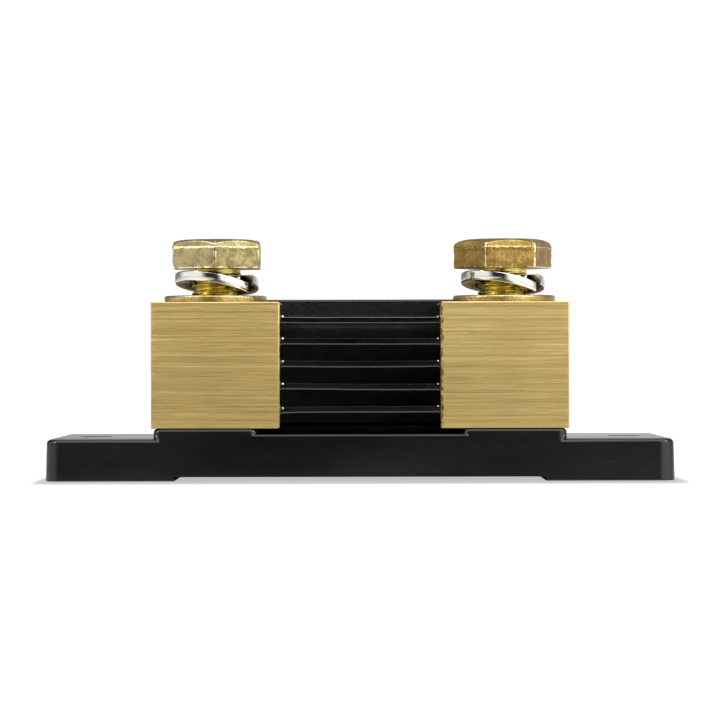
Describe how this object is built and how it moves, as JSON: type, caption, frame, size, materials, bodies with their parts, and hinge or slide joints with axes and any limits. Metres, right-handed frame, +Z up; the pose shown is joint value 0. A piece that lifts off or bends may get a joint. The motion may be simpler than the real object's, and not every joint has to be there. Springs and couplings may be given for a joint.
{
  "type": "battery monitor shunt",
  "caption": "Low-side current shunt: brass terminal blocks joined by black resistance strips on a moulded base with mounting ears, sensor housing behind.",
  "frame": {"origin": "middle of the base's footprint, in the plane its feet stand on", "axes": "+X along the base from the left ear to the right one, -Y out of the blocks' open front faces, +Z up along the terminal bolts"},
  "size_m": [0.12, 0.054, 0.0466],
  "materials": {
    "base_plastic": "satin moulded",
    "case_plastic": "fine spark-eroded texture",
    "block_brass": "brushed along X",
    "bolt_brass": "forged, lightly plated",
    "washer_brass": "stamped, tumbled",
    "spring_steel": "bright zinc",
    "strip_paint": "gloss black lacquer",
    "screw_steel": "zinc plated",
    "contact_metal": "tinned",
    "board_laminate": "solder resist",
    "socket_plastic": "natural nylon",
    "terminal_plastic": "moulded nylon",
    "button_plastic": "moulded",
    "light_pipe": "clear acrylic",
    "lamp": "clear epoxy",
    "chip_epoxy": "moulded epoxy",
    "ceramic": "fired ceramic",
    "ferrite": "sintered"
  },
  "bodies": {
    "shunt": {"base": "base_plastic", "base_screws": "screw_steel", "base_screw_washers": "screw_steel", "left_block": "block_brass", "right_block": "block_brass", "shunt_strip_1": "strip_paint", "shunt_strip_2": "strip_paint", "shunt_strip_3": "strip_paint", "shunt_strip_4": "strip_paint", "shunt_strip_5": "strip_paint", "sensor_case": "case_plastic", "sensor_cover": "case_plastic", "cover_screws": "screw_steel", "circuit_board": "board_laminate", "sense_screws": "screw_steel", "sense_washers": "screw_steel", "sense_spacers": "washer_brass", "data_socket": "socket_plastic", "data_socket_pins": "contact_metal", "supply_terminal": "terminal_plastic", "supply_clamp_springs": "contact_metal", "light_pipes": "light_pipe", "status_leds": "lamp", "controller_chip": "chip_epoxy", "radio_module": "contact_metal", "amplifier_chip": "chip_epoxy", "timing_crystal": "contact_metal", "supply_fuse": "ceramic", "supply_inductor": "ferrite", "board_capacitors": "ceramic", "board_resistors": "chip_epoxy"},
    "left_washers": {"left_flat_washer": "washer_brass", "left_spring_washer": "spring_steel"},
    "left_bolt": {"left_terminal_bolt": "bolt_brass"},
    "right_washers": {"right_flat_washer": "washer_brass", "right_spring_washer": "spring_steel"},
    "right_bolt": {"right_terminal_bolt": "bolt_brass"},
    "left_release": {"left_release_button": "button_plastic"},
    "right_release": {"right_release_button": "button_plastic"}
  },
  "joints": [
    {"name": "left_washer_lift", "type": "slide", "parent": "shunt", "child": "left_washers", "axis": [0, 0, 1], "range_m": [0, 0.008]},
    {"name": "left_bolt_turn", "type": "hinge", "parent": "left_washers", "child": "left_bolt", "pos_m": [-0.028, -0.005, 0.0408], "axis": [0, 0, 1], "range_deg": [0, 1920]},
    {"name": "right_washer_lift", "type": "slide", "parent": "shunt", "child": "right_washers", "axis": [0, 0, 1], "range_m": [0, 0.008]},
    {"name": "right_bolt_turn", "type": "hinge", "parent": "right_washers", "child": "right_bolt", "pos_m": [0.028, -0.005, 0.0408], "axis": [0, 0, 1], "range_deg": [0, 1920]},
    {"name": "left_button_press", "type": "slide", "parent": "shunt", "child": "left_release", "axis": [0, -1, 0], "range_m": [0, 0.0012], "stiffness_N_per_m": 400, "springref_m": -0.0006},
    {"name": "right_button_press", "type": "slide", "parent": "shunt", "child": "right_release", "axis": [0, -1, 0], "range_m": [0, 0.0012], "stiffness_N_per_m": 400, "springref_m": -0.0006}
  ],
  "couplings": [
    {"joint": "left_bolt_turn", "follows": "left_washer_lift", "rad_per_m": 4188.8},
    {"joint": "right_bolt_turn", "follows": "right_washer_lift", "rad_per_m": 4188.8}
  ]
}
